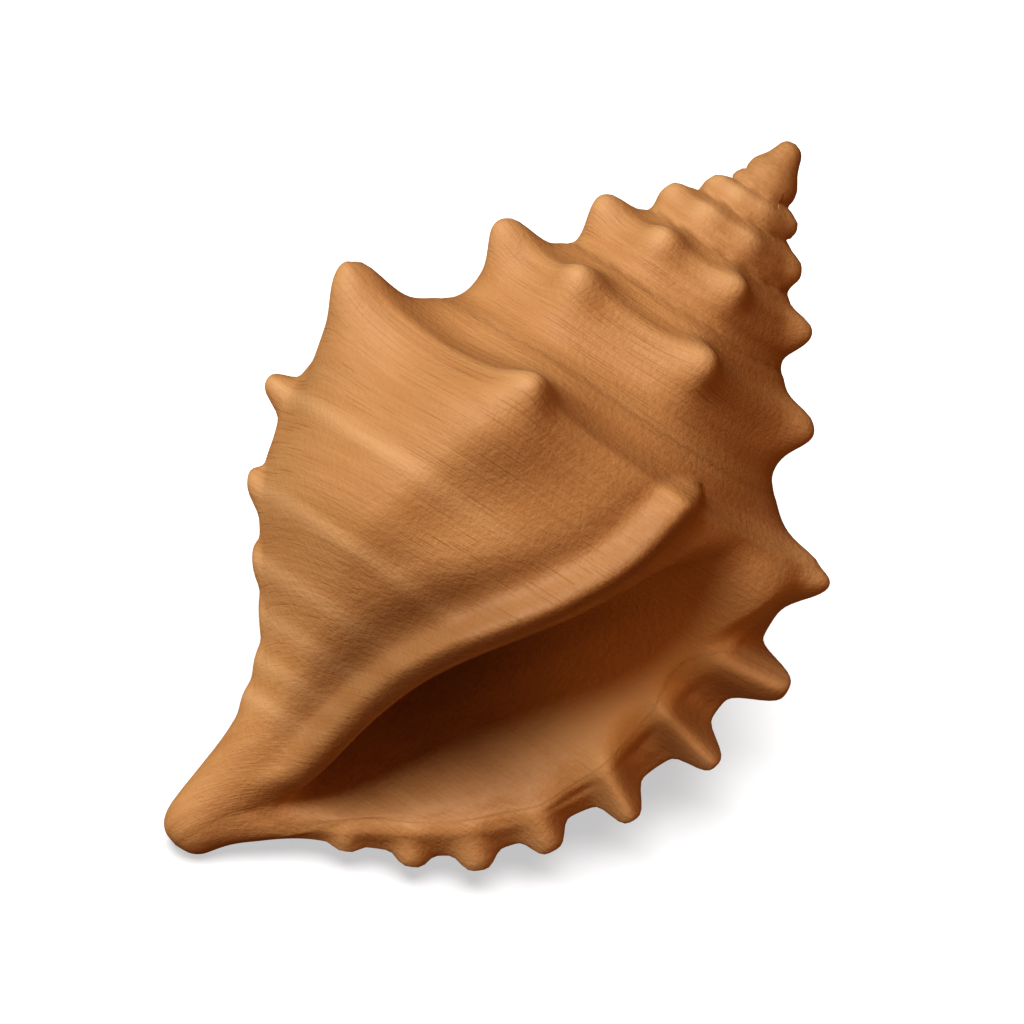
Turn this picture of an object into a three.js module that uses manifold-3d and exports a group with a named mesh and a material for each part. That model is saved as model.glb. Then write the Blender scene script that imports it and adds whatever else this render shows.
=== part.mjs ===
import * as THREE from 'three';
import Module from 'manifold-3d';

// A spiny triton shell in millimetres, +Z up, lying on its canal tip, a back spine and its back.
// The shell is first described in its own axes: p to the right with the apex up, q out of
// the aperture towards the viewer, s down the coiling axis from the apex to the canal tip.

const growth = 1.55;
const shoulderLevel = 69.0;
const shoulderAngle = 16;
const shoulderRadius = 45.1;
const canalTip = 198.0;
const apexTop = -1.7;
const axisShear = 0.0807;
const whorlCount = 6;
const whorlBulge = 0.06;
const spineTilt = 27;
const spineSwing = 32;
const lipAngle = 362;
const restWear = 0.8;
const restDown = new THREE.Vector3(0.399, -0.787, 0.4705);
const canalReach = 1.2;
const ridgeHeight = 5.0;
const rowCount = 72;

// Whorl outline above and below the shoulder: level as a share of the shoulder's, radius share.
const spireOutline = [
  [0.70, 0.0], [0.82, 0.52], [0.88, 0.765], [0.94, 0.85], [0.975, 0.925], [1.0, 1.0], [1.03, 1.03],
  [1.1, 1.05], [1.22, 1.10], [1.37, 1.17], [1.5, 1.17], [1.7, 0.9], [2.0, 0.0], [2.4, -1.2],
];
// Last whorl and canal: share of the way from the shoulder to the canal tip, radius share.
const bodyOutline = [
  [0, 1], [0.04, 1.03], [0.10, 1.035], [0.19, 1.02], [0.30, 0.965], [0.38, 0.865], [0.45, 0.735],
  [0.51, 0.61], [0.58, 0.45], [0.657, 0.33], [0.737, 0.245], [0.80, 0.20], [0.865, 0.165],
  [0.92, 0.139], [0.95, 0.126], [0.97, 0.110], [0.985, 0.086], [0.995, 0.052], [1.0, 0.0],
];
// Rounded first turn at the apex: level and radius.
const apexOutline = [
  [-1.7, 0], [-1.5, 1.05], [-1.0, 2.0], [0, 2.75], [1.5, 3.3], [3.2, 4.0], [4.8, 5.0], [6.2, 5.75],
  [8, 6.0], [9.5, 5.7], [12, 4], [16, 0],
];
// Backward bend of the canal, by level.
const canalDrop = [[125, 0], [145, -3], [165, -8.5], [182, -14.5], [198, -19.6]];
// Sideways bend of the canal, then the inner ridge, the lip crest and the lip margin, by level.
const canalBend = [
  [0, 0.3], [70, 1.2], [110, 0], [132, -3.5], [148, -8.5], [157, -11.5], [167, -15], [182, -20.3],
  [190, -22.8], [198, -24.5],
];
const ridgeLine = [
  [60, 26], [69.8, 25.2], [87, 23.0], [105, 16.2], [116.5, 9.6], [128, 2.8], [138, -1.9], [149.7, -5.4],
  [162.4, -8.0], [170, -9.6], [177.8, -12], [186, -19], [198, -24.5],
];
const crestLine = [
  [66, 40], [77.7, 46.4], [84, 46.4], [91.2, 45.9], [101.4, 45.6], [109.5, 45.0], [117, 44], [125, 42.3],
  [139.3, 37.4], [150.5, 29.9], [160.1, 20.6], [168.2, 10], [173.8, 0.4], [178, -8], [186, -17], [198, -24.5],
];
const marginLine = [
  [60, 42], [78, 50.2], [85.8, 51.0], [97, 52.3], [108.1, 52.2], [126.1, 47.3], [141.9, 39.2], [152.7, 33.2],
  [163.8, 22.6], [172.1, 10.2], [180.2, -2.6], [187, -10.8], [194, -17.6], [197, -21], [198, -24.5],
];
// Height of the lip crest, how far the margin lies below it at a spine, and how much further between spines.
const crestHeight = [
  [66, 26], [78, 20], [88, 16], [100, 13], [115, 11], [140, 10], [155, 9], [168, 7], [178, 5], [198, 0],
];
const marginFall = [[66, 5], [85, 3.5], [125, 3.5], [145, 5], [165, 5], [178, 3.5], [198, 0]];
const lipValley = [
  [66, 3], [80, 9.5], [115, 10.5], [130, 7.5], [145, 3], [158, 1.5], [178, 0.6], [198, 0],
];
// Trough beside the inner ridge: how far out, how wide and how deep, by level.
const troughOut = [[70, 8], [95, 10], [122, 12.5], [150, 11], [170, 8]];
const troughWidth = [[70, 3.5], [95, 5], [122, 6.5], [150, 6], [170, 4.5]];
const troughDepth = [[70, 0.4], [95, 1.0], [122, 3.0], [150, 2.6], [170, 1.0]];

// Shoulder spines from the last whorl up: angle, height and drop below the shoulder in shoulder radii.
const spineRings = [
  [[16, 0.28, 0.08], [110, 0.23, 0.05], [158, 0.275, 0.075], [225, 0.255, 0.08], [270, 0.212, 0.08],
    [315, 0.234, 0.08]],
  [[16, 0.26, 0.11], [79, 0.20, 0.075], [125, 0.20, 0.075], [158, 0.31, 0.10], [225, 0.255, 0.10],
    [270, 0.255, 0.10], [315, 0.255, 0.10]],
  [[16, 0.31, 0.13], [79, 0.20, 0.08], [120, 0.20, 0.08], [158, 0.29, 0.14], [225, 0.27, 0.10],
    [270, 0.27, 0.10], [315, 0.27, 0.10]],
  [[16, 0.24, 0.20], [79, 0.06, 0.10], [120, 0.06, 0.10], [158, 0.175, 0.14], [225, 0.18, 0.10],
    [270, 0.18, 0.10], [315, 0.20, 0.10]],
  [[16, 0.195, 0.08], [158, 0.08, 0.08], [225, 0.10, 0.08], [270, 0.10, 0.08], [315, 0.13, 0.08]],
];
const spineWidths = [0.120, 0.150, 0.20, 0.29, 0.38];
// Rib under each spine, in shoulder radii, by whorl.
const ribHeights = [0.085, 0.085, 0.085, 0.045, 0.025];
// Broad fold below the front knob: angle at its top, turn per millimetre, height, width right and left.
const frontFold = [110, 0.36, 4.6, 0.20, 0.45];
// Lip spines by level, height, half width and lean to the apex; the first only holds up the lip's start.
const lipSpines = [
  [71, 0, 8.0, 0], [93, 12.4, 5.3, -0.10], [110.5, 8.6, 4.2, 0], [129, 7.4, 4.3, 0], [145, 5.8, 4.4, 0],
  [158, 4.6, 4.2, 0], [167, 3.4, 3.8, 0], [175, 1.8, 3.2, 0],
];
// Rows of knobs below the shoulder: share of the way to the canal tip and height, then angle and share of it.
const knobRows = [[0.213, 6.0], [0.38, 4.4], [0.49, 2.6]];
const knobAngles = [[180, 1.0], [226, 1.0], [270, 0.62]];
const knobWidth = 2.9;
// Slimmer last third of the whorl behind the lip.
const backDip = 0.12;
// Columns round the outside beyond the front, closer together at the spines.
const frontColumns = 14;
const frontEnd = 150;
const backAngles = [
  150, 154, 158, 162, 168, 177, 184, 192, 204, 214, 220, 225, 230, 236, 247, 258, 265, 270, 275, 282,
  293, 303, 310, 315, 320, 327, 336, 345, 353, 362,
];
// Columns in each span of the aperture, from the margin over the crest and the bowl to the ridge.
const apertureSpans = [2, 2, 2, 2, 2, 2, 2, 2, 1, 1, 2];

const degree = Math.PI / 180;

function smooth(a, b, x) {
  const t = Math.min(Math.max((x - a) / (b - a), 0), 1);
  return t * t * (3 - 2 * t);
}

// Monotone cubic through the knots, held level past both ends.
function curve(knots) {
  const n = knots.length;
  const step = [];
  const slope = [];
  for (let i = 0; i < n - 1; i += 1) {
    step.push(knots[i + 1][0] - knots[i][0]);
    slope.push((knots[i + 1][1] - knots[i][1]) / step[i]);
  }
  const tangent = [slope[0]];
  for (let i = 1; i < n - 1; i += 1) {
    const w1 = 2 * step[i] + step[i - 1];
    const w2 = step[i] + 2 * step[i - 1];
    const same = slope[i - 1] * slope[i] > 0;
    tangent.push(same ? (w1 + w2) / (w1 / slope[i - 1] + w2 / slope[i]) : 0);
  }
  tangent.push(slope[n - 2]);
  return (x) => {
    const at = Math.min(Math.max(x, knots[0][0]), knots[n - 1][0]);
    let i = 0;
    while (i < n - 2 && at >= knots[i + 1][0]) {
      i += 1;
    }
    const t = (at - knots[i][0]) / step[i];
    const rise = knots[i][1] + (3 * t * t - 2 * t ** 3) * (knots[i + 1][1] - knots[i][1]);
    return rise + step[i] * ((t ** 3 - 2 * t * t + t) * tangent[i] + (t ** 3 - t * t) * tangent[i + 1]);
  };
}

const spireAt = curve(spireOutline);
const bodyAt = curve(bodyOutline);
const apexAt = curve(apexOutline);
const dropAt = curve(canalDrop);
const bendAt = curve(canalBend);
const ridgeAt = curve(ridgeLine);
const crestAt = curve(crestLine);
const marginAt = curve(marginLine);
const crestHeightAt = curve(crestHeight);
const marginFallAt = curve(marginFall);
const valleyAt = curve(lipValley);
const troughOutAt = curve(troughOut);
const troughWidthAt = curve(troughWidth);
const troughDepthAt = curve(troughDepth);
// Share of the fall by column from the margin over the crest.
const lipFallAt = curve([[0, 1], [1.2, 0.99], [2, 0.95], [4, 0.86], [5.2, 0.5], [7.4, 0], [20, 0]]);
const levelAt = curve([
  [0, apexTop], [0.03, 1.2], [0.25, 42], [0.55, 100], [0.9, 182], [0.97, 195.5], [1, canalTip],
]);

const lipPlaces = lipSpines.map(([s, height, width, apexLean]) => {
  const run = marginPoint(s + 0.5).sub(marginPoint(s - 0.5)).normalize();
  return { foot: marginPoint(s), run, height, width, apexLean };
});

// Level and radius of the shoulder, both growing by the same factor in each turn.
function shoulderS(theta) {
  return shoulderLevel * growth ** ((theta - shoulderAngle) / 360) * (1 - 0.08 * smooth(200, 360, theta));
}

function shoulderR(theta) {
  return shoulderRadius * growth ** (theta / 360) * (1 - 0.25 * smooth(170, 370, theta));
}

function whorlRadius(s, theta) {
  const s0 = shoulderS(theta);
  const y = (s - s0) / (canalTip - s0);
  const spire = spireAt(s / s0);
  const body = y > 0 ? bodyAt(y) : spire;
  const dip = backDip * smooth(276, 308, theta) * smooth(0.02, 0.15, y) * (1 - smooth(0.6, 0.85, y));
  const bulge = whorlBulge * Math.exp(-(((s / s0 - 1.17) / 0.1) ** 2)) * (1 - smooth(-620, -330, theta));
  return shoulderR(theta) * (spire + bulge + (body - spire) * smooth(-60, 10, theta)) * (1 - dip);
}

// Ribs on one whorl: under each spine a swelling that fades to the suture below.
function ribs(s, phi, j) {
  const theta = phi - 360 * j;
  const level = s / shoulderS(theta);
  const along = smooth(0.82, 1.0, level) * (1 - smooth(1.04, 1.42, level));
  let wave = 0;
  for (const turn of [0, 1]) {
    const ring = spineRings[Math.min(Math.max(j - turn, 0), spineRings.length - 1)];
    for (const [angle] of ring) {
      wave += Math.exp(-((((phi - angle - 360 * turn) * degree) / 0.25) ** 2));
    }
  }
  return ribHeights[Math.min(j, ribHeights.length - 1)] * shoulderR(theta) * wave * along;
}

// Outer radius at a level and an angle: the whorls blended where they meet at the sutures.
function outsideRadius(s, phi) {
  const radii = [whorlRadius(s, phi) + ribs(s, phi, 0) - 90 * smooth(372, 400, phi)];
  for (let j = 1; j < whorlCount; j += 1) {
    radii.push(whorlRadius(s, phi - 360 * j) + ribs(s, phi, j));
  }
  radii.push(apexAt(s) - 20 * smooth(12, 16, s));
  const most = Math.max(...radii);
  const blend = Math.min(Math.max(0.012 * s + 0.0006 * s * s, 0.12), 3.2);
  const sum = radii.reduce((total, r) => total + Math.exp((r - most) / blend), 0);
  return most + blend * Math.log(sum) * smooth(apexTop, 0, s);
}

// Height share of a blunt spine at a distance from its middle: a finger on a wide foot.
function spine(distance, width, foot, power) {
  const finger = Math.exp(-((distance / width) ** power));
  return (1 - foot) * finger + foot * Math.exp(-((distance / (2.2 * width)) ** 2));
}

// Rounded rim of the inner ridge at a distance from its edge, starting at the top as a round finger end.
function ridgeRim(s, e) {
  const side = e > 3.6 ? 3.3 : 4.2;
  const back = (72 - s + 2.4 * ((e - 3.2) / 3.6) ** 2) / 3.8;
  const start = Math.sqrt(1 - Math.min(Math.max(back, 0), 1) ** 2);
  return ridgeHeight * Math.exp(-(Math.abs((e - 3.6) / side) ** 2.1)) * start;
}

// Angle of the inner ridge at a level, where the outside meets its line.
function ridgeAngle(level) {
  const s = Math.max(level, 66);
  let phi = 75;
  for (let i = 0; i < 20; i += 1) {
    const side = (ridgeAt(s) - bendAt(s)) / Math.max(outsideRadius(s, phi), 0.01);
    const target = Math.acos(Math.min(Math.max(side, -1), 1)) / degree;
    phi = 0.5 * phi + 0.5 * Math.min(Math.max(target, 50), 130);
  }
  return phi;
}

function polar(s, phi, radius) {
  return new THREE.Vector3(bendAt(s) + radius * Math.cos(phi * degree), radius * Math.sin(phi * degree), s);
}

// Outside radius with the front fold, the ridge of the inner lip, its trough and the rows of knobs.
function dressedRadius(s, phi, phiRidge, ridgeOn) {
  let radius = outsideRadius(s, phi);
  const [foldAngle, foldTurn, foldHeight, foldRight, foldLeft] = frontFold;
  const d = (phi - foldAngle - foldTurn * (s - 84)) * degree;
  const foldOn = smooth(76, 90, s) * (1 - smooth(112, 144, s));
  radius += foldHeight * foldOn * Math.exp(-((d / (d < 0 ? foldRight : foldLeft)) ** 2));
  const e = (phi - phiRidge) * degree * radius;
  const trough = troughDepthAt(s) * Math.exp(-(((e - troughOutAt(s)) / troughWidthAt(s)) ** 2));
  radius += ridgeOn * (ridgeRim(s, e) - trough * smooth(68, 78, s));
  const span = canalTip - shoulderS(phi);
  const y = (s - shoulderS(phi)) / span;
  if (y > 0) {
    for (const [row, height] of knobRows) {
      for (const [angle, share] of knobAngles) {
        const distance = Math.hypot((phi - angle) * degree * Math.max(radius, 1), (y - row) * span);
        radius += share * height * spine(distance, knobWidth, 0.36, 3);
      }
    }
  }
  return radius;
}

function catmull(a, b, c, d, t) {
  const point = b.clone().multiplyScalar(2);
  point.addScaledVector(c, t).addScaledVector(a, -t);
  point.addScaledVector(a, 2 * t * t).addScaledVector(b, -5 * t * t);
  point.addScaledVector(c, 4 * t * t).addScaledVector(d, -t * t);
  const cube = t ** 3;
  point.addScaledVector(b, 3 * cube).addScaledVector(a, -cube);
  point.addScaledVector(c, -3 * cube).addScaledVector(d, cube);
  return point.multiplyScalar(0.5);
}

function marginPoint(s) {
  return new THREE.Vector3(marginAt(s), crestHeightAt(s) - marginFallAt(s), s);
}

// One closed cross-section: round the outside from the ridge to the margin, then over the lip
// crest into the bowl of the aperture and back under the ridge. Past the aperture the lip runs out
// as the canal's own side. Each point carries how much of the fall between the lip spines it takes.
function section(s) {
  const phiRidge = ridgeAngle(s);
  const ridgeOn = 1 - smooth(160, 182, s);
  const lipOn = smooth(62, 82, s) * (1 - smooth(186, 198, s));
  const angles = [];
  for (let i = 0; i < frontColumns; i += 1) {
    angles.push(phiRidge + ((frontEnd - phiRidge) * i) / frontColumns);
  }
  angles.push(...backAngles);
  const outer = angles.map((phi) => polar(s, phi, dressedRadius(s, phi, phiRidge, ridgeOn)));
  const last = outer.length - 1;
  const share = angles.map((phi) => (phi - phiRidge) / (lipAngle - phiRidge));
  const pull = marginPoint(s).sub(outer[last]);
  outer.forEach((point, i) => point.addScaledVector(pull, smooth(0.78, 1, share[i]) * lipOn));
  const total = apertureSpans.reduce((sum, n) => sum + n, 0);
  const plain = [];
  const close = smooth(170, 186, s);
  const lipRadius = outsideRadius(s, lipAngle);
  const ridgeRadius = outsideRadius(s, phiRidge + 360);
  const reach = (marginAt(s) - bendAt(s)) / Math.max(lipRadius, 1) - 1;
  for (let i = 0; i < total; i += 1) {
    const t = i / total;
    const phi = lipAngle + (phiRidge + 360 - lipAngle) * t;
    const even = lipRadius + (ridgeRadius - lipRadius) * smooth(0, 1, t);
    const radius = outsideRadius(s, phi) * (1 - close) + even * close;
    const e = (phi - phiRidge - 360) * degree * radius;
    const point = polar(s, phi, radius + ridgeOn * ridgeRim(s, e));
    const side = Math.max(point.x - bendAt(s), 0);
    point.x += side * reach * close * lipOn * (1 - smooth(0.2, 1, t));
    plain.push(point);
  }
  const gap = outer[last].clone().sub(plain[0]);
  plain.forEach((point, i) => point.addScaledVector(gap, 1 - smooth(0, 0.9, i / total)));
  const ridge = outer[0];
  const pc = crestAt(s);
  const qc = crestHeightAt(s);
  const w = Math.max(pc - ridge.x, 4);
  const up = Math.min(Math.min(Math.max(outsideRadius(s, 270) / 57, 0.12), 1), w / 12);
  const sink = w * (0.32 + 0.68 * smooth(82, 135, s));
  const soft = smooth(118, 150, s);
  const roll = Math.min(Math.max(up, 0.8 * soft), w / 20);
  const at = (p, q) => new THREE.Vector3(p, q, s);
  const keys = [
    outer[last - 1],
    outer[last],
    at(pc + 0.55 * (marginAt(s) - pc), qc - 1.2 - 1.8 * soft),
    at(pc + (0.8 - 1.2 * soft) * roll, qc - (0.2 + 0.9 * soft) * roll),
    at(pc - (3.4 + 2.6 * soft) * roll, qc - (1.0 + 1.5 * soft) * roll),
    at(pc - 0.35 * w, qc - 0.17 * sink),
    at(pc - 0.7 * w, qc - 0.5 * sink),
    at(pc - 1.05 * w, qc - 0.85 * sink),
    at(ridge.x - 10 * up, qc - 0.8 * sink + up),
    at(ridge.x - 8.5 * up, ridge.y * 0.62),
    at(ridge.x - 3.5 * up, ridge.y - 5.4 * up),
    at(ridge.x + 0.9 * up, ridge.y - 2.6 * up),
    ridge,
    outer[1],
  ];
  const bowl = [];
  apertureSpans.forEach((count, i) => {
    for (let k = 0; k < count; k += 1) {
      bowl.push(catmull(keys[i], keys[i + 1], keys[i + 2], keys[i + 3], k / count));
    }
  });
  const open = 1 - smooth(164, 184, s);
  plain.forEach((point, i) => {
    const late = 6 * smooth(0.5, 0.95, i / total);
    point.lerp(bowl[i], open * smooth(66, 108, s - late));
  });
  const falls = share.map((t) => smooth(0.82, 1, t) * lipOn).slice(0, last);
  plain.forEach((point, i) => falls.push(lipFallAt(i) * lipOn));
  return outer.slice(0, last).concat(plain).map((foot, i) => ({ foot, fall: falls[i] }));
}

// Every spine as its foot on the surface, its lean, its height, its half width and its outline.
function spineList() {
  const list = [];
  const tilt = spineTilt * degree;
  spineRings.forEach((ring, j) => {
    for (const [angle, height, drop] of ring) {
      const r0 = shoulderR(angle - 360 * j);
      const s0 = shoulderS(angle - 360 * j);
      const a = angle * degree;
      const out = a - spineSwing * degree * Math.exp(-(((angle - 95) / 35) ** 2));
      const foot = polar(s0, angle, 1.02 * r0);
      foot.z += drop * r0;
      const flat = Math.cos(tilt);
      const lean = new THREE.Vector3(Math.cos(out) * flat, Math.sin(out) * flat, -Math.sin(tilt));
      list.push({ foot, lean, height: height * r0, width: spineWidths[j] * r0, base: 0.32, power: 2.8 });
    }
  });
  for (const { foot, run, height, width, apexLean } of lipPlaces) {
    const lean = new THREE.Vector3(run.z, 0.12, -run.x + apexLean);
    list.push({ foot, lean, height, width, base: 0.25, power: 4 });
  }
  return list;
}

// How far the lip falls away at a point, held up beside each lip spine.
function lipDrop(foot, fall) {
  let held = 0;
  for (const place of lipPlaces) {
    const across = foot.clone().sub(place.foot).dot(place.run);
    held = Math.max(held, Math.exp(-((across / place.width) ** 2)));
  }
  return valleyAt(foot.z) * fall * (1 - held);
}

// Turn from the shell's own axes to the resting pose, +X along the shell towards the apex.
function restBasis() {
  const zAxis = restDown.clone().normalize().negate();
  const xAxis = new THREE.Vector3(0, 0, -1);
  xAxis.addScaledVector(zAxis, -xAxis.dot(zAxis)).normalize();
  const yAxis = new THREE.Vector3().crossVectors(zAxis, xAxis);
  return { xAxis, yAxis, zAxis };
}

function buildShell() {
  const spines = spineList();
  const rows = [];
  for (let i = 1; i <= rowCount; i += 1) {
    rows.push(section(levelAt(i / (rowCount + 1))));
  }
  const columns = rows[0].length;
  const points = rows.flat();
  points.push({ foot: new THREE.Vector3(bendAt(apexTop), 0, apexTop), fall: 0 });
  points.push({ foot: new THREE.Vector3(bendAt(canalTip), 0, canalTip), fall: 0 });
  const { xAxis, yAxis, zAxis } = restBasis();
  const placed = points.map(({ foot, fall }) => {
    const point = foot.clone();
    point.y -= lipDrop(foot, fall);
    for (const { foot: middle, lean, height, width, base, power } of spines) {
      point.addScaledVector(lean, height * spine(foot.distanceTo(middle), width, base, power));
    }
    point.y += dropAt(foot.z);
    point.z += axisShear * point.x + canalReach * smooth(178, canalTip, foot.z);
    return new THREE.Vector3(point.dot(xAxis), point.dot(yAxis), point.dot(zAxis));
  });
  const faces = [];
  const top = rowCount * columns;
  for (let j = 0; j < columns; j += 1) {
    const k = (j + 1) % columns;
    for (let i = 0; i < rowCount - 1; i += 1) {
      const a = i * columns;
      const b = a + columns;
      faces.push(a + j, a + k, b + k, a + j, b + k, b + j);
    }
    const base = (rowCount - 1) * columns;
    faces.push(top, k, j, top + 1, base + j, base + k);
  }
  const lowest = Math.min(...placed.map((point) => point.z));
  const vertProperties = new Float32Array(placed.flatMap((v) => [v.x, v.y, v.z - lowest - restWear]));
  return { vertProperties, triVerts: new Uint32Array(faces) };
}

// The lowest tips are worn flat where the shell rests.
const wasm = await Module();
wasm.setup();
const { vertProperties, triVerts } = buildShell();
const whole = new wasm.Manifold(new wasm.Mesh({ numProp: 3, vertProperties, triVerts }));
const worn = whole.trimByPlane([0, 0, 1], 0).getMesh();

const geometry = new THREE.BufferGeometry();
geometry.setAttribute('position', new THREE.BufferAttribute(worn.vertProperties.slice(), 3));
geometry.setIndex(new THREE.BufferAttribute(worn.triVerts.slice(), 1));
geometry.computeBoundingBox();
const middle = geometry.boundingBox.getCenter(new THREE.Vector3());
geometry.translate(-middle.x, -middle.y, 0);
geometry.computeVertexNormals();

const horn = new THREE.MeshStandardMaterial({ color: 0xb87840, roughness: 0.5, metalness: 0 });
const shell = new THREE.Mesh(geometry, horn);
shell.name = 'shell';

const part = new THREE.Group();
part.name = 'triton_shell';
part.add(shell);

export default part;
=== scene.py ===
import math
import bpy
import numpy as np
from mathutils import Matrix, Vector


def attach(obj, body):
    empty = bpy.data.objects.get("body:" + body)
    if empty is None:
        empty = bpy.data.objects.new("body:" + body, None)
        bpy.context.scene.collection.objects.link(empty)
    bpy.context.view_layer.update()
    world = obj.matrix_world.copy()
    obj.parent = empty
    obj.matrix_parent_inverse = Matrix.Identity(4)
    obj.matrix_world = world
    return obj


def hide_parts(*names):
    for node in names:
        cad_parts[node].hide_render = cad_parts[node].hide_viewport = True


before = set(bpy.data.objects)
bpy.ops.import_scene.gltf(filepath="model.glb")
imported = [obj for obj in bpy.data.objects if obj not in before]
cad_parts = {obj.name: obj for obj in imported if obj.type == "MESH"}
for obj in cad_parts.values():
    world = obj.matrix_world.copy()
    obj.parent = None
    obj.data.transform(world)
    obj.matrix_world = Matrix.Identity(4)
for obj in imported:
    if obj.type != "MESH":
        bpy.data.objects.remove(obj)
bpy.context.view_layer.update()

deg = math.pi / 180

# own axes of the shell, in mm: p right with the apex up, q out of the aperture, s down from the apex
whorls = {
    "growth": 1.55,             # each turn is this much larger
    "shoulderLevel": 69.0,      # s of the shoulder at shoulderAngle
    "shoulderAngle": 16,
    "shoulderRadius": 45.1,
    "turns": 6,
    "top": -1.7,                # s of the very top
    "groove": 1.1,              # mm cut along the sutures
    "shear": 0.0807,            # the turns lean this much across the axis
    "bulge": 0.06,              # rounder walls on the upper turns
    "backDip": 0.12,            # slimmer behind the lip
    "rise": (0.08, 200, 360),   # the shoulder rises by this share between these angles of the last turn
    "drawIn": (0.25, 170, 370),     # and its radius draws in by this share
    "lastTurn": (-60, 10),      # angles where the spire outline gives way to the body outline
    "lipEnd": (372, 400),       # angles where the last turn ends at the lip
    # a turn above the last: level as a share of the shoulder's, radius as a share of the shoulder's
    "spire": [(0.70, 0.0), (0.82, 0.52), (0.88, 0.765), (0.94, 0.85), (0.975, 0.925), (1.0, 1.0),
              (1.03, 1.03), (1.1, 1.05), (1.22, 1.10), (1.37, 1.17), (1.5, 1.17), (1.7, 0.9),
              (2.0, 0.0), (2.4, -1.2)],
    # the last turn: share of the way from the shoulder to the canal tip, radius share
    "body": [(0, 1), (0.04, 1.03), (0.10, 1.035), (0.19, 1.02), (0.30, 0.965), (0.38, 0.865), (0.45, 0.735),
             (0.51, 0.61), (0.58, 0.45), (0.657, 0.33), (0.737, 0.245), (0.80, 0.20), (0.865, 0.165),
             (0.92, 0.139), (0.95, 0.126), (0.97, 0.110), (0.985, 0.086), (0.995, 0.052), (1.0, 0.0)],
    # the rounded first turn: level and radius
    "apex": [(-1.7, 0), (-1.5, 1.05), (-1.0, 2.0), (0, 2.75), (1.5, 3.3), (3.2, 4.0), (4.8, 5.0),
             (6.2, 5.75), (8, 6.0), (9.5, 5.7), (12, 4), (16, 0)],
}
canal = {
    "tip": 198.0,
    "reach": 1.2,               # mm the end runs on
    "sideBend": [(0, 0.3), (70, 1.2), (110, 0), (132, -3.5), (148, -8.5), (157, -11.5), (167, -15),
                 (182, -20.3), (190, -22.8), (198, -24.5)],
    "backBend": [(125, 0), (145, -3), (165, -8.5), (182, -14.5), (198, -19.6)],
}


# cubic step: 0 at a, 1 at b, level at both ends
def easeStep(a, b, x):
    t = np.clip((x - a) / (b - a), 0, 1)
    return t * t * (3 - 2 * t)


# cubic through the knots that never overshoots them: each knot's slope is the weighted harmonic mean of the
# slopes on its two sides
def through(x, knots):
    k = np.array(knots, float)
    kx, ky = k[:, 0], k[:, 1]
    h = np.diff(kx)
    slope = np.diff(ky) / h
    m = np.concatenate([[slope[0]], np.zeros(len(kx) - 2), [slope[-1]]])
    w1, w2 = 2 * h[1:] + h[:-1], h[1:] + 2 * h[:-1]
    same = slope[:-1] * slope[1:] > 0
    m[1:-1][same] = (w1 + w2)[same] / (w1[same] / slope[:-1][same] + w2[same] / slope[1:][same])
    x = np.clip(x, kx[0], kx[-1])
    i = np.clip(np.searchsorted(kx, x, side="right") - 1, 0, len(kx) - 2)
    t = (x - kx[i]) / h[i]
    return ((2 * t**3 - 3 * t**2 + 1) * ky[i] + (t**3 - 2 * t**2 + t) * h[i] * m[i]
            + (3 * t**2 - 2 * t**3) * ky[i + 1] + (t**3 - t**2) * h[i] * m[i + 1])


# shoulder level: grows by the factor each turn, and rises a little on the last half turn
def shoulderLevel(theta):
    share, start, end = whorls["rise"]
    grown = whorls["shoulderLevel"] * whorls["growth"] ** ((theta - whorls["shoulderAngle"]) / 360)
    return grown * (1 - share * easeStep(start, end, theta))


# shoulder radius: the same growth, drawn in towards the lip
def shoulderRadius(theta):
    share, start, end = whorls["drawIn"]
    grown = whorls["shoulderRadius"] * whorls["growth"] ** (theta / 360)
    return grown * (1 - share * easeStep(start, end, theta))


# one turn's radius at level s: its shoulder radius times the spire outline, or on the last turn the body
# outline, with rounder walls on the upper turns and a dip behind the lip
def whorlRadius(s, theta):
    s0, r0 = shoulderLevel(theta), shoulderRadius(theta)
    up = s / s0
    y = (s - s0) / (canal["tip"] - s0)
    spire = through(up, whorls["spire"])
    body = np.where(y > 0, through(y, whorls["body"]), spire)
    dip = whorls["backDip"] * easeStep(276, 308, theta)
    dip = dip * easeStep(0.02, 0.15, y) * (1 - easeStep(0.6, 0.85, y))
    bulge = whorls["bulge"] * np.exp(-(((up - 1.17) / 0.1) ** 2)) * (1 - easeStep(-620, -330, theta))
    return r0 * (spire + bulge + (body - spire) * easeStep(*whorls["lastTurn"], theta)) * (1 - dip)


# all turns at one level and angle: the soft maximum of their radii, so they melt together in the sutures,
# less a groove where two are nearly level; also gives which turn lies on top
def outerRadius(s, phi):
    radii = [whorlRadius(s, phi - 360 * j) + ribs(s, phi, j) for j in range(whorls["turns"])]
    radii[0] = radii[0] - 90 * easeStep(*whorls["lipEnd"], phi)
    radii = np.array(radii + [through(s, whorls["apex"]) - 20 * easeStep(12, 16, s) + 0 * phi])
    soft = np.clip(0.012 * s + 0.0009 * s * s, 0.12, 5 - 3.4 * easeStep(90, 150, s))
    top = radii.max(0)
    gap = top - np.partition(radii, -2, 0)[-2]
    groove = whorls["groove"] * (1 - 0.75 * easeStep(30, 52, s)) * easeStep(8, 14, s)
    melt = soft * np.log(np.exp((radii - top) / soft).sum(0)) * easeStep(whorls["top"], 0, s)
    return top + melt - groove * np.exp(-((gap / np.clip(0.02 * s, 0.6, 1.4)) ** 2)), radii.argmax(0)


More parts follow.
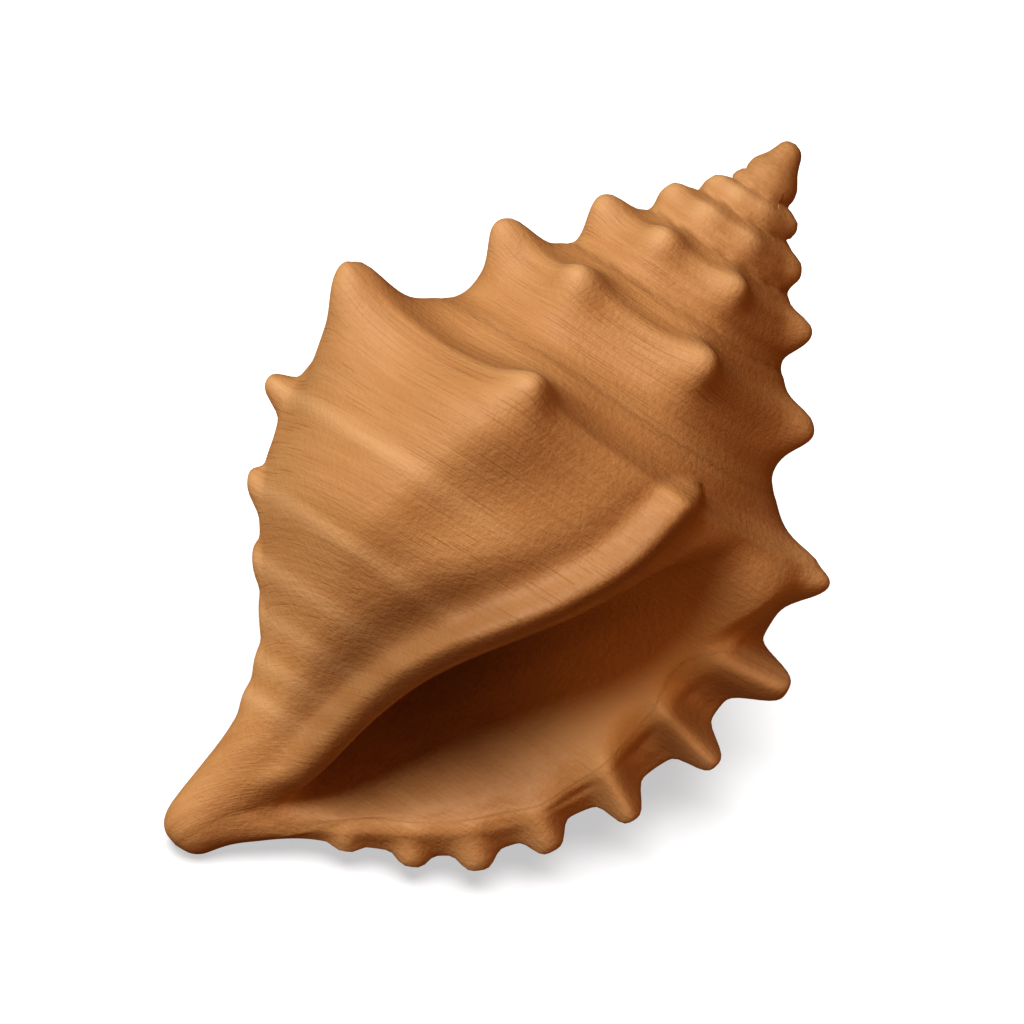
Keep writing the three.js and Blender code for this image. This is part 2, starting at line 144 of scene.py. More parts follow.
# the aperture: where the inner ridge, the lip crest and the lip margin run, by level
aperture = {
    "ridgeP": [(60, 26), (69.8, 25.2), (87, 23.0), (105, 16.2), (116.5, 9.6), (128, 2.8), (138, -1.9),
               (149.7, -5.4), (162.4, -8.0), (170, -9.6), (177.8, -12), (186, -19), (198, -24.5)],
    "crestP": [(66, 40), (77.7, 46.4), (84, 46.4), (91.2, 45.9), (101.4, 45.6), (109.5, 45.0), (117, 44),
               (125, 42.3), (139.3, 37.4), (150.5, 29.9), (160.1, 20.6), (168.2, 10), (173.8, 0.4),
               (178, -8), (186, -17), (198, -24.5)],
    "marginP": [(60, 42), (78, 50.2), (85.8, 51.0), (97, 52.3), (108.1, 52.2), (126.1, 47.3), (141.9, 39.2),
                (152.7, 33.2), (163.8, 22.6), (172.1, 10.2), (180.2, -2.6), (187, -10.8), (194, -17.6),
                (197, -21), (198, -24.5)],
    "crestQ": [(66, 26), (78, 20), (88, 16), (100, 13), (115, 11), (140, 10), (155, 9), (168, 7), (178, 5),
               (198, 0)],
    # margin below the crest at a lip spine, and how much further it falls between them
    "marginFall": [(66, 5), (85, 3.5), (125, 3.5), (145, 5), (165, 5), (178, 3.5), (198, 0)],
    "valley": [(66, 3), (80, 9.5), (115, 10.5), (130, 7.5), (145, 3), (158, 1.5), (178, 0.6), (198, 0)],
    "marginAngle": 362,
    "ridgeTop": 66,             # level above which the ridge's angle stays the same
    "ridgeHeight": 5.0,
    # trough beside the ridge: level, how far out, width, depth
    "trough": [(70, 8, 3.5, 0.4), (95, 10, 5, 1.0), (122, 12.5, 6.5, 3.0), (150, 11, 6, 2.6),
               (170, 8, 4.5, 1.0)],
    "open": (66, 108),          # levels over which the bowl opens
    "shut": (164, 184),         # and closes again
    "runOut": (170, 186),       # levels where the lip runs out as the canal's own side
    "lipStart": (62, 82),       # levels where the lip's flange begins
    "lipStop": (186, 198),      # and ends
    "ridgeStop": (160, 182),    # levels where the ridge fades
    "rounder": (118, 150),      # levels where the crest grows rounder towards the canal
}
spines = {
    "tilt": 27,                 # degrees towards the apex
    "swing": 32,                # degrees the front ones lean round to the right
    # from the last turn up: angle, height and drop below the shoulder, both in shoulder radii
    "turns": [[(16, .28, .08), (110, .23, .05), (158, .305, .075), (225, .255, .08), (270, .212, .08),
               (315, .234, .08)],
              [(16, .26, .11), (79, .20, .075), (125, .20, .075), (158, .31, .10), (225, .255, .10),
               (270, .255, .10), (315, .255, .10)],
              [(16, .31, .13), (79, .20, .08), (120, .20, .08), (158, .29, .14), (225, .27, .10),
               (270, .27, .10), (315, .27, .10)],
              [(16, .24, .20), (79, .06, .10), (120, .06, .10), (158, .175, .14), (225, .18, .10),
               (270, .18, .10), (315, .20, .10)],
              [(16, .195, .08), (79, .01, .08), (120, .01, .08), (158, .08, .08), (225, .10, .08),
               (270, .10, .08), (315, .13, .08)]],
    "widths": [0.112, 0.150, 0.20, 0.29, 0.38],         # half width in shoulder radii, by turn
    "folds": [0.085, 0.085, 0.085, 0.045, 0.025],       # rib under each spine, the same way
    "outline": (0.32, 2.8),     # foot's share and bluntness
    # fold below the front knob: angle at its top, turn per mm, height, width right and left in radians
    "frontFold": (110, 0.36, 5.4, 0.16, 0.45),
    # lip spines: level, height, half width, lean to the apex; the first only holds up the lip's start
    "lip": [(71, 0, 8.0, 0), (93, 12.4, 5.3, -0.10), (110.5, 8.6, 4.2, 0), (129, 7.4, 4.3, 0),
            (145, 5.8, 4.4, 0), (158, 4.6, 4.2, 0), (167, 3.4, 3.8, 0), (175, 1.8, 3.2, 0)],
    "lipOutline": (0.25, 4),
    # knob rows below the shoulder: share of the way to the canal tip, height
    "rows": [(0.213, 7.2), (0.38, 4.4), (0.49, 2.6), (0.565, 1.3), (0.635, 1.0), (0.70, 0.8)],
    "rowAngles": [(180, 1.0), (226, 0.75), (270, 0.46)],        # angle and share of the height
    "knobWidth": 3.6,
    "knobOutline": (0.3, 4),
    "cord": (0.25, 0.016),      # raised cord along each row: height in mm, half width as a share of the way
}
grid = {
    "rows": 286,
    "around": 226,
    "spans": (10, 8, 10, 12, 14, 14, 12, 12, 10, 10, 10),       # columns in each span of the aperture
    # share of the rows, and the level it reaches
    "levels": [(0, whorls["top"]), (0.03, 1.2), (0.25, 42), (0.55, 100), (0.9, 182), (0.97, 195.5),
               (1, canal["tip"])],
}


# blunt spine: a flat-topped finger on a wide foot, 1 at the middle
def bluntSpine(d, w, foot, power):
    return (1 - foot) * np.exp(-((d / w) ** power)) + foot * np.exp(-((d / (2.2 * w)) ** 2))


# ribs on one turn: under each spine a swelling that fades to the suture below
def ribs(s, phi, j):
    theta = phi - 360 * j
    up = s / shoulderLevel(theta)
    lastRing = len(spines["turns"]) - 1
    wave = 0 * phi
    for i in (0, 1):            # this turn's spines, then those one turn on
        for a, height, drop in spines["turns"][min(max(j - i, 0), lastRing)]:
            wave = wave + np.exp(-(((phi - a - 360 * i) * deg / 0.25) ** 2))
    size = spines["folds"][min(j, lastRing)] * shoulderRadius(theta)
    return size * wave * easeStep(0.82, 1.0, up) * (1 - easeStep(1.04, 1.42, up))


# fold below the front knob: a bell across it, steeper on the right, that fades in at the top and out below
def frontFold(s, phi):
    angleTop, turnDown, height, right, left = spines["frontFold"]
    d = (phi - angleTop - turnDown * (s - 84)) * deg
    bell = np.exp(-((d / np.where(d < 0, right, left)) ** 2))
    return height * bell * easeStep(76, 90, s) * (1 - easeStep(112, 144, s))


# rounded rim across the inner ridge: a bell that is a little narrower on the side away from the mouth
def ridgeHump(e):
    return np.exp(-(np.abs((e - 3.6) / np.where(e > 3.6, 3.3, 4.2)) ** 2.1))


# the ridge starts as a round finger end: its height follows a half circle, later away from its middle line
def ridgeStart(s, e):
    back = np.clip((72.0 - s + 2.4 * ((e - 3.2) / 3.6) ** 2) / 3.8, 0, 1)
    return np.sqrt(1 - back ** 2)


# angle of the inner ridge: where the outside meets the ridge's line, closed in on by halves
def ridgeAngle(s, ridgeP, bend):
    phi = np.full_like(s, 75.0)
    for _ in range(20):
        reach = np.maximum(outerRadius(s, phi)[0], 0.01)
        meets = np.arccos(np.clip((ridgeP - bend) / reach, -1, 1)) / deg
        phi = 0.5 * phi + 0.5 * np.clip(meets, 50, 130)
    return np.where(s < aperture["ridgeTop"], phi[np.argmin(abs(s - aperture["ridgeTop"]))], phi)


# the lines that run down the shell, one value for each level
def levelLines(level):
    s = level[:, None]
    line = {k: through(s, aperture[k]) for k in ("ridgeP", "crestP", "marginP", "crestQ")}
    line["s"] = s
    line["bend"] = through(s, canal["sideBend"])
    line["phi"] = ridgeAngle(s, line["ridgeP"], line["bend"])
    line["ridgeOn"] = 1 - easeStep(*aperture["ridgeStop"], s)
    line["lipOn"] = easeStep(*aperture["lipStart"], s) * (1 - easeStep(*aperture["lipStop"], s))
    marginQ = line["crestQ"] - through(s, aperture["marginFall"])
    line["margin"] = np.stack([line["marginP"], marginQ, s], -1)[:, 0]
    return line


# outside from the ridge round to the margin: the turns' radius with fold, ridge, trough, cords and knobs
# added; its last part is drawn over to the margin
def outsideSkin(line):
    s, bend, phiR = line["s"], line["bend"], line["phi"]
    to = np.linspace(0, 1, grid["around"])[None, :]
    to = to - 0.12 * np.sin(2 * np.pi * to) / (2 * np.pi)       # columns closer together at both ends
    phi = phiR + (aperture["marginAngle"] - phiR) * to
    rho, turn = outerRadius(s, phi)
    rho = rho + frontFold(s, phi)
    e = (phi - phiR) * deg * rho
    far, wide, sunk = (through(s, [(k[0], k[i]) for k in aperture["trough"]]) for i in (1, 2, 3))
    rim = aperture["ridgeHeight"] * ridgeHump(e) * ridgeStart(s, e)
    trough = sunk * np.exp(-((e - far) / wide) ** 2) * easeStep(68, 78, s)
    rho = rho + line["ridgeOn"] * (rim - trough)

    span = canal["tip"] - shoulderLevel(phi)
    y = (s - shoulderLevel(phi)) / span
    cordHeight, cordWidth = spines["cord"]
    pale = 0 * rho
    for row, height in spines["rows"]:
        cord = np.exp(-((y - row) / cordWidth) ** 2) * easeStep(70, 130, phi) * (y > 0)
        pale = pale + 0.55 * cord
        rho = rho + cordHeight * cord
        for a, share in spines["rowAngles"]:
            d = np.hypot((phi - a) * deg * np.maximum(rho, 1), (y - row) * span)
            rho = rho + share * height * bluntSpine(d, spines["knobWidth"], *spines["knobOutline"]) * (y > 0)

    points = np.stack([bend + rho * np.cos(phi * deg), rho * np.sin(phi * deg), s + 0 * phi], -1)
    pull = line["margin"][:, None] - points[:, -1:]
    points = points + pull * (easeStep(0.78, 1, to) * line["lipOn"])[..., None]
    # painted shade: the ridge and the trough beside it are darkened in colour, standing in for the shade that
    # falls there
    shaded = 0.22 * ridgeHump(e) + 0.22 * sunk * np.exp(-((e - far) / (1.4 * wide)) ** 2)
    return {
        "points": points,
        "angle": phi,
        "turn": turn,
        "fall": easeStep(0.82, 1, to) * line["lipOn"],
        "pale": pale,
        "paintedShade": line["ridgeOn"] * shaded * easeStep(70, 84, s),
        "inner": 0 * phi,
        "bare": (1 - easeStep(0.75, 0.95, to)) * (1 - easeStep(140, 172, s)),
    }


# keys of the bowl's section: margin, flange, over the rolled crest, down the far wall, under the ridge to its
# rim, with a spare key at each end; across by shares of the mouth's width, down by shares of its sink
def bowlKeys(line, outer):
    s, pc, pm, qc = (line[k] for k in ("s", "crestP", "marginP", "crestQ"))
    rim, margin = outer[:, 0], outer[:, -1]
    rp, rq = rim[:, :1], rim[:, 1:2]
    w = np.maximum(pc - rp, 4)
    sink = w * (0.32 + 0.68 * easeStep(82, 135, s))
    up = np.minimum(np.clip(outerRadius(s, np.full_like(s, 270.0))[0] / 57, 0.12, 1), w / 12)
    soft = easeStep(*aperture["rounder"], s)
    roll = np.minimum(np.maximum(up, 0.8 * soft), w / 20)
    places = [
        (pc + 0.55 * (pm - pc), qc - 1.2 - 1.8 * soft),
        (pc + (0.8 - 1.2 * soft) * roll, qc - (0.2 + 0.9 * soft) * roll),
        (pc - (3.4 + 2.6 * soft) * roll, qc - (1.0 + 1.5 * soft) * roll),
        (pc - 0.35 * w, qc - 0.17 * sink),
        (pc - 0.7 * w, qc - 0.5 * sink),
        (pc - 1.05 * w, qc - 0.85 * sink),
        (rp - 10 * up, qc - 0.8 * sink + up),
        (rp - 8.5 * up, rq * 0.62),
        (rp - 3.5 * up, rq - 5.4 * up),
        (rp + 0.9 * up, rq - 2.6 * up),
    ]
    return [outer[:, -4], margin] + [np.stack([p, q, s], -1)[:, 0] for p, q in places] + [rim, outer[:, 3]]


# smooth cubic spline through the section's keys, each span between two keys cut into its number of columns
def splineThrough(keys, spans):
    out = []
    for i, n in enumerate(spans):
        a, b, c, d = (keys[i + j][:, None, :] for j in range(4))
        t = (np.arange(n) / n)[None, :, None]
        square, cube = 2 * a - 5 * b + 4 * c - d, 3 * b - a - 3 * c + d
        out.append(0.5 * (2 * b + (c - a) * t + square * t**2 + cube * t**3))
    return np.concatenate(out, 1)


# window from the margin to the ridge: the plain outside where the shell is closed, the bowl where it is open;
# past the mouth the plain radius evens out and stretches to the margin
def mouthSkin(line, outer):
    s, bend, phiR, lipOn = (line[k] for k in ("s", "bend", "phi", "lipOn"))
    n = sum(grid["spans"])
    tw = (np.arange(n) / n)[None, :]
    deep = easeStep(*aperture["open"], s - 6 * easeStep(0.5, 0.95, tw))     # a little later near the ridge
    deep = deep * (1 - easeStep(*aperture["shut"], s))
    phi = aperture["marginAngle"] + (phiR + 360 - aperture["marginAngle"]) * tw
    rho, turn = outerRadius(s, phi)
    runOut = easeStep(*aperture["runOut"], s)
    even = rho[:, :1] + (rho[:, -1:] - rho[:, :1]) * easeStep(0, 1, tw)
    rho = rho + (even - rho) * runOut
    e = (phi - phiR - 360) * deg * rho
    rho = rho + line["ridgeOn"] * aperture["ridgeHeight"] * ridgeHump(e) * ridgeStart(s, e)
    side = rho * np.cos(phi * deg)
    further = (line["marginP"] - bend) / np.maximum(rho[:, :1], 1) - 1
    stretch = 1 + runOut * lipOn * (1 - easeStep(0.2, 1, tw)) * further
    side = np.where(side > 0, side * stretch, side)
    plain = np.stack([bend + side, rho * np.sin(phi * deg), s + 0 * phi], -1)
    plain = plain + (outer[:, -1:] - plain[:, :1]) * (1 - easeStep(0, 0.9, tw))[..., None]
    bowl = splineThrough(bowlKeys(line, outer), grid["spans"])

    # marks by column: how far the lip falls, the bowl's rim tinted with painted light, painted shade on the
    # bowl's floor and the canal's lower side, and painted shade deep in the mouth
    column = np.arange(n)[None, :]
    flange, crest, rolled = np.cumsum(grid["spans"][:3])
    falls = [(0, 1), (0.6 * flange, 0.99), (flange, 0.95), (crest, 0.86), (crest + 6, 0.5), (crest + 17, 0),
             (n, 0)]
    hollow = (1 - easeStep(n - 30, n - 10, column)) * deep
    band = easeStep(crest, rolled + 14, column) * (1 - easeStep(rolled + 14, rolled + 34, column))
    # painted shade: the canal's lower side and the bowl's floor low down are darkened in colour
    canalShade = easeStep(172, 184, s) * (1 - easeStep(190, 197, s)) * (1 - easeStep(0.25, 0.75, tw))
    shade = 0.4 * band * hollow * easeStep(118, 148, s) + 0.2 * canalShade
    # painted shade: deep in the mouth the colour darkens, standing in for the shade there
    deepShade = easeStep(rolled + 20, rolled + 60, column) * (1 - easeStep(n - 14, n - 2, column)) * deep
    deepShade = deepShade * easeStep(88, 128, s) * (1 - 0.95 * easeStep(126, 160, s))
    return {
        "points": plain + (bowl - plain) * deep[..., None],
        "angle": phi,
        "turn": turn,
        "fall": through(column + 0 * s, falls) * lipOn,
        "pale": 0 * phi,
        "paintedShade": np.maximum(deepShade, shade),
        # painted light: the bowl's rim is tinted brighter, standing in for light that the lamps do not bring
        # into the bowl
        "inner": easeStep(crest - 2, rolled, column) * hollow * (1 - easeStep(112, 145, s)),
        "bare": 0 * phi,
    }


# every spine: its middle, lean, height, half width and outline, and how much paler it makes the skin; lip
# spines lean across the margin's run, shoulder spines out from the axis and up by the tilt
def spineList(level, margin, run):
    listed = []
    for lipLevel, height, width, apexLean in spines["lip"]:
        i = np.argmin(abs(level - lipLevel))
        lean = np.array([run[i, 2], 0.12, apexLean - run[i, 0]])
        listed.append((margin[i], lean, height, width, spines["lipOutline"], 0.5))
    flat, rise = math.cos(spines["tilt"] * deg), math.sin(spines["tilt"] * deg)
    for j, ring in enumerate(spines["turns"]):
        for a, height, drop in ring:
            r0, s0 = shoulderRadius(a - 360 * j), shoulderLevel(a - 360 * j)
            b = a * deg
            c = (a - spines["swing"] * math.exp(-((a - 95) / 35) ** 2)) * deg
            bend = through(s0, canal["sideBend"])
            middle = np.array([bend + 1.02 * r0 * math.cos(b), 1.02 * r0 * math.sin(b), s0 + drop * r0])
            lean = np.array([math.cos(c) * flat, math.sin(c) * flat, -rise])
            listed.append((middle, lean, height * r0, spines["widths"][j] * r0, spines["outline"], 0.75))
    return listed


# the whole skin as levels by columns: outside and window side by side; the lip falls away between its spines,
# then every spine pushes the skin near it out along its lean, and the canal's bend and the shear come last
def shellSkin():
    level = through(np.linspace(0, 1, grid["rows"] + 2)[1:-1], grid["levels"])
    line = levelLines(level)
    outside = outsideSkin(line)
    mouth = mouthSkin(line, outside["points"])
    part = {k: np.concatenate([outside[k][:, :-1], mouth[k]], 1) for k in mouth}
    foot, pale = part["points"], part["pale"]
    skin = foot.copy()

    margin = line["margin"]
    run = np.gradient(margin, axis=0)
    run /= np.linalg.norm(run, axis=-1, keepdims=True)
    flute = 0 * pale
    for lipLevel, height, width, apexLean in spines["lip"]:
        i = np.argmin(abs(level - lipLevel))
        across = ((foot - margin[i]) * run[i]).sum(-1)
        flute = np.maximum(flute, np.exp(-((across / width) ** 2)))
    skin[..., 1] -= through(line["s"], aperture["valley"]) * part["fall"] * (1 - flute)
    for middle, lean, height, width, outline, paler in spineList(level, margin, run):
        near = bluntSpine(np.linalg.norm(foot - middle, axis=-1), width, *outline)
        skin = skin + (height * near)[..., None] * lean
        pale = pale + paler * near ** 2
    skin[..., 1] += through(foot[..., 2], canal["backBend"])
    reach = canal["reach"] * easeStep(178, canal["tip"], foot[..., 2])
    skin[..., 2] += whorls["shear"] * skin[..., 0] + reach

    # run of the grain: along the coil and across it, in mm
    theta = part["angle"] - 360 * np.minimum(part["turn"], whorls["turns"] - 1)
    across = foot[..., 2] / shoulderLevel(theta) * 60
    flow = np.stack([theta * deg * 45, across, part["paintedShade"] * 10], -1)
    pale = np.clip(pale, 0, 1)
    lines = part["bare"] * (1 - pale) ** 2
    return skin, {"pale": pale, "paintedShade": part["paintedShade"], "inner": part["inner"], "flow": flow, "lines": lines}


# the two ends of the skin on the axis: the top, and the canal tip where bends and shear have carried it
def skinEnds():
    top, tip = whorls["top"], canal["tip"]
    p = through(tip, canal["sideBend"])
    tipEnd = [p, through(tip, canal["backBend"]), tip + canal["reach"] + whorls["shear"] * p]
    return np.array([[through(top, canal["sideBend"]), 0, top], tipEnd])


rest = {
    "down": (0.399, -0.787, 0.4705),            # the way to the ground in the shell's own axes
    "shift": (85.142, -2.314, 101.207),         # mm, from the turned shell to the part's frame
}


# the turn from the shell's own axes to where it lies: ground side down, x level along the shell to the apex
def restTurn():
    z = -np.array(rest["down"]) / np.linalg.norm(rest["down"])
    x = np.array([0, 0, -1.0])
    x = x - z * (x @ z)
    x /= np.linalg.norm(x)
    return np.stack([x, np.cross(z, x), z])


# from the shell's own axes in mm to the part's frame in metres: turned, then shifted
def toFrame(points):
    return (points @ restTurn().T + np.array(rest["shift"])) / 1000


# grid to mesh: quads between neighbouring rows, closed round, with a fan to a pole at each end
def skinMesh(name, skin, ends, marks):
    rows, cols = skin.shape[:2]
    points = np.vstack([skin.reshape(-1, 3), ends])
    i, j = np.meshgrid(np.arange(rows - 1), np.arange(cols), indexing="ij")
    a, b = i * cols + j, i * cols + (j + 1) % cols
    quads = np.stack([a, b, b + cols, a + cols], -1).reshape(-1, 4)
    j = np.arange(cols)
    base = (rows - 1) * cols
    fanTop = np.stack([np.full(cols, rows * cols), (j + 1) % cols, j], -1)
    fanTip = np.stack([np.full(cols, rows * cols + 1), base + j, base + (j + 1) % cols], -1)
    mesh = bpy.data.meshes.new(name)
    mesh.vertices.add(len(points))
    mesh.vertices.foreach_set("co", points.astype(np.float32).ravel())
    corners = np.concatenate([quads.ravel(), fanTop.ravel(), fanTip.ravel()])
    sizes = np.concatenate([np.full(len(quads), 4), np.full(2 * cols, 3)])
    starts = np.concatenate([[0], np.cumsum(sizes)[:-1]])
    mesh.loops.add(len(corners))
    mesh.loops.foreach_set("vertex_index", corners.astype(np.int32))
    mesh.polygons.add(len(sizes))
    mesh.polygons.foreach_set("loop_start", starts.astype(np.int32))
    mesh.update(calc_edges=True)
    mesh.validate()
    mesh.polygons.foreach_set("use_smooth", np.ones(len(mesh.polygons), bool))
    for mark, values in marks.items():
        vector = values.ndim == 3
        poles = np.stack([values[0].mean(0), values[-1].mean(0)])
        full = np.concatenate([values.reshape(rows * cols, -1), poles.reshape(2, -1)]).astype(np.float32)
        layer = mesh.attributes.new(mark, "FLOAT_VECTOR" if vector else "FLOAT", "POINT")
        layer.data.foreach_set("vector" if vector else "value", full.ravel())
    obj = bpy.data.objects.new(name, mesh)
    bpy.context.scene.collection.objects.link(obj)
    return obj


skin, marks = shellSkin()
placed = toFrame(skin)
print("resting spots worn flat by up to", round(-1000 * placed[..., 2].min(), 2), "mm")
placed[..., 2] = np.maximum(placed[..., 2], 0)
shell = skinMesh("shell_skin", placed, toFrame(skinEnds()), marks)
print("shell skin", len(shell.data.polygons), "faces")

# the look of the shell: caramel brown, paler knobs and cords, fine grain along the coil, painted light in the
# bowl and painted shade in the mouth and hollows
look = {
    "brown": (0.370, 0.170, 0.054, 1),
    "caramel": (0.51, 0.283, 0.115, 1),
    "paleTip": (0.67, 0.42, 0.205, 1),
    # bowl: painted light, the brighter tint on the bowl's rim
    "bowl": (0.72, 0.415, 0.160, 1),
    # mouth: painted shade, the colour that the deep mouth, the bowl's floor, the ridge, its trough and the
    # canal's lower side are darkened towards
    "mouth": (0.175, 0.074, 0.022, 1),
    "hair": (0.20, 0.070, 0.016, 1),
    "paleShare": 0.7,                           # how far the tips go to paleTip
    "paintedLightShare": 0.75,                          # how far the bowl's rim goes to bowl
    "tone": {"streak": 0.36, "cloud": 0.35, "grain": 0.29},
    "grainScale": (0.06, 1.6, 1.0),             # along the coil, across it
    "streakScale": (0.02, 0.22, 1.0),
    "hairScale": (0.055, 3.0, 1.0),
    "cloudScale": 28.0,
    "leatherScale": 780.0,
    "bump": (0.5, 0.0007),                      # strength, height in metres
    "roughness": (0.50, 0.66),
    "specular": 0.32,
}


# node by type, with its inputs set by name or linked from another node's output; gives the named output
def addNode(tree, kind, inputs, output, **settings):
    node = tree.nodes.new(kind)
    for k, v in settings.items():
        setattr(node, k, v)
    for k, v in inputs.items():
        if isinstance(v, bpy.types.NodeSocket):
            tree.links.new(v, node.inputs[k])
        else:
            node.inputs[k].default_value = v
    return node.outputs[output]


# colour: brown to caramel by cloud, streaks and grain, mixed in turn with the pale tips, the dark hairlines,
# the bowl's tint of painted light and the painted shade of the deep mouth, bowl floor, ridge, trough and
# canal side; bump: grain and leathery skin, less the hairlines
def shellMaterial():
    mat = bpy.data.materials.new("shell_brown")
    mat.use_nodes = True
    tree = mat.node_tree
    tree.nodes.clear()

    # a mark on the mesh by its name
    def mark(name, output="Fac"):
        return addNode(tree, "ShaderNodeAttribute", {}, output, attribute_name=name)

    # cloudy noise from 0 to 1
    def noise(vector, scale, detail, roughness):
        inputs = {"Vector": vector, "Scale": scale, "Detail": detail, "Roughness": roughness}
        return addNode(tree, "ShaderNodeTexNoise", inputs, "Fac")

    # the grain's run, scaled along the coil and across it
    def drawnOut(scale):
        return addNode(tree, "ShaderNodeMapping", {"Vector": flow, "Scale": scale}, "Vector")

    # a times b
    def product(a, b):
        return addNode(tree, "ShaderNodeMath", {0: a, 1: b}, 0, operation="MULTIPLY")

    # a times b, added to the total
    def plus(total, a, b):
        return addNode(tree, "ShaderNodeMath", {0: a, 1: b, 2: total}, 0, operation="MULTIPLY_ADD")

    # straight line from low and high to their new values, held at both ends
    def spread(value, low, high, toLow, toHigh):
        inputs = {"Value": value, "From Min": low, "From Max": high, "To Min": toLow, "To Max": toHigh}
        return addNode(tree, "ShaderNodeMapRange", inputs, "Result")

    # colour a, with the share of colour b mixed in
    def mixed(share, a, b):
        return addNode(tree, "ShaderNodeMix", {"Factor": share, "A": a, "B": b}, "Result", data_type="RGBA")

    where = addNode(tree, "ShaderNodeTexCoord", {}, "Object")
    flow = mark("flow", "Vector")
    grain = noise(drawnOut(look["grainScale"]), 1.0, 5.0, 0.6)
    streak = noise(drawnOut(look["streakScale"]), 1.0, 3.0, 0.5)
    cloud = noise(where, look["cloudScale"], 3.0, 0.55)
    leather = noise(where, look["leatherScale"], 4.0, 0.6)

    tone = product(streak, look["tone"]["streak"])
    tone = plus(tone, cloud, look["tone"]["cloud"])
    tone = plus(tone, grain, look["tone"]["grain"])
    ramp = tree.nodes.new("ShaderNodeValToRGB")
    tree.links.new(tone, ramp.inputs["Fac"])
    low, high = ramp.color_ramp.elements
    low.position, low.color = 0.30, look["brown"]
    high.position, high.color = 0.68, look["caramel"]

    # dark hairlines where fine grain runs low, in patches
    hairs = noise(drawnOut(look["hairScale"]), 1.0, 2.0, 0.5)
    hair = product(spread(hairs, 0.43, 0.30, 0.0, 1.0), spread(cloud, 0.40, 0.60, 0.08, 0.5))
    hair = product(hair, mark("lines"))

    colour = mixed(product(mark("pale"), look["paleShare"]), ramp.outputs["Color"], look["paleTip"])
    colour = mixed(hair, colour, look["hair"])
    # painted light on the bowl's rim, then painted shade in the mouth and hollows
    colour = mixed(product(mark("inner"), look["paintedLightShare"]), colour, look["bowl"])
    colour = mixed(mark("paintedShade"), colour, look["mouth"])

    height = plus(product(grain, 0.5), leather, 0.75)
    height = plus(height, hair, -0.5)
    strength, distance = look["bump"]
    bumpInputs = {"Height": height, "Strength": strength, "Distance": distance}
    skinInputs = {
        "Base Color": colour,
        "Roughness": spread(leather, 0.3, 0.7, *look["roughness"]),
        "Normal": addNode(tree, "ShaderNodeBump", bumpInputs, "Normal"),
        "Specular IOR Level": look["specular"],
    }
    shader = addNode(tree, "ShaderNodeBsdfPrincipled", skinInputs, "BSDF")
    tree.links.new(shader, tree.nodes.new("ShaderNodeOutputMaterial").inputs["Surface"])
    return mat


shell.data.materials.append(shellMaterial())
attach(shell, "root")
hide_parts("shell")
print("shell finished")

# camera on the shell's own q axis; frame is the picture's width at the aim, in mm
view = {"across": (0.825, 0.565), "aim": (-5.29, 0.0, 96.98), "distance": 1500.0, "frame": 217.9}
# studio: directions are in the picture: right, up, towards the camera
studio = {
    "key": {"from": (-0.52, 0.50, 0.70), "strength": 3.55, "angle": 42, "colour": (1.0, 1.0, 1.0)},
    "fill": {"from": (0.40, -0.02, 0.91), "strength": 0.58, "angle": 60, "colour": (1.0, 0.52, 0.24)},
    "overhead": {"from": (0.05, 0.66, 0.75), "strength": 4.5, "angle": 50, "colour": (1.0, 1.0, 1.0)},
    "world": {"colour": (1.0, 0.42, 0.15, 1), "strength": 0.14},    # warm, as thrown back by the shell
    "floor": {"colour": (0.5, 0.5, 0.5, 1), "roughness": 0.9, "half": 60.0},
    "floorGlow": {"colour": (0.93, 0.98, 1.0, 1), "strength": 0.47},
}


# picture axes in the part's frame: right and up are p and s, turned by the slant in the picture, and q is
# towards the camera
def pictureAxes():
    a, b = np.array(view["across"]) / np.hypot(*view["across"])
    own = np.array([[a, 0, -b], [-b, 0, -a], [0, 1.0, 0]])
    return own @ restTurn().T


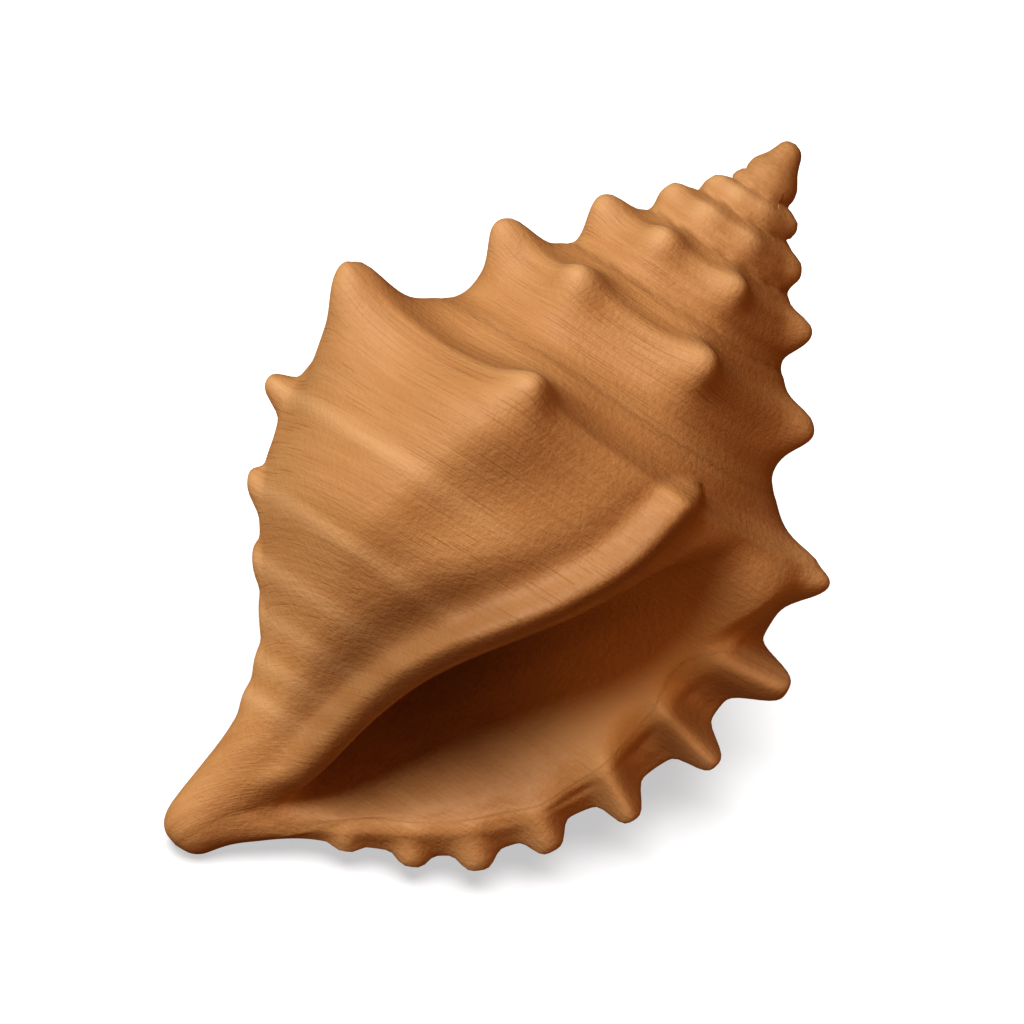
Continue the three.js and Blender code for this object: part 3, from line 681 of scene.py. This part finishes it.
# camera: back from the aim by the distance, with the lens that makes the frame's width fill the sensor
def makeCamera():
    right, up, back = pictureAxes()
    data = bpy.data.cameras.new("camera")
    data.sensor_width = 36
    data.lens = data.sensor_width * view["distance"] / view["frame"]
    cam = bpy.data.objects.new("camera", data)
    place = Matrix((right, up, back)).transposed().to_4x4()
    place.translation = Vector(toFrame(np.array(view["aim"])) + back * view["distance"] / 1000)
    cam.matrix_world = place
    bpy.context.scene.collection.objects.link(cam)
    bpy.context.scene.camera = cam


# pale floor: one wide square at the ground, matt, with a little light of its own so that it stays near white
def makeFloor():
    half = studio["floor"]["half"]
    mesh = bpy.data.meshes.new("floor")
    corners = [(-half, -half, 0), (half, -half, 0), (half, half, 0), (-half, half, 0)]
    mesh.from_pydata(corners, [], [(0, 1, 2, 3)])
    paint = bpy.data.materials.new("floor_pale")
    paint.use_nodes = True
    coat = paint.node_tree.nodes["Principled BSDF"].inputs
    coat["Base Color"].default_value = studio["floor"]["colour"]
    coat["Roughness"].default_value = studio["floor"]["roughness"]
    coat["Specular IOR Level"].default_value = 0.0
    coat["Emission Color"].default_value = studio["floorGlow"]["colour"]
    coat["Emission Strength"].default_value = studio["floorGlow"]["strength"]
    mesh.materials.append(paint)
    floor = bpy.data.objects.new("floor", mesh)
    floor.visible_diffuse = False
    floor.visible_glossy = False
    bpy.context.scene.collection.objects.link(floor)
    return floor


# one broad sun from a direction in the picture, lighting only the one object it is meant for
def addLight(name, target):
    lamp = studio[name]
    data = bpy.data.lights.new(name, "SUN")
    data.energy, data.angle, data.color = lamp["strength"], lamp["angle"] * deg, lamp["colour"]
    obj = bpy.data.objects.new(name, data)
    way = Vector(np.array(lamp["from"]) @ pictureAxes())
    obj.rotation_euler = way.to_track_quat("Z", "Y").to_euler()
    bpy.context.scene.collection.objects.link(obj)
    lit = bpy.data.collections.new(name + "_lights")
    lit.objects.link(target)
    obj.light_linking.receiver_collection = lit


# even warm light from all round
def makeWorld():
    world = bpy.data.worlds.new("studio")
    world.use_nodes = True
    background = world.node_tree.nodes["Background"].inputs
    background["Color"].default_value = studio["world"]["colour"]
    background["Strength"].default_value = studio["world"]["strength"]
    bpy.context.scene.world = world


makeCamera()
floor = makeFloor()
addLight("key", shell)
addLight("fill", shell)
addLight("overhead", floor)         # the shadow on the floor lies straight below the shell
makeWorld()
bpy.context.scene.view_settings.view_transform = "Standard"
bpy.context.scene.view_settings.look = "Medium High Contrast"
print("camera and studio set")
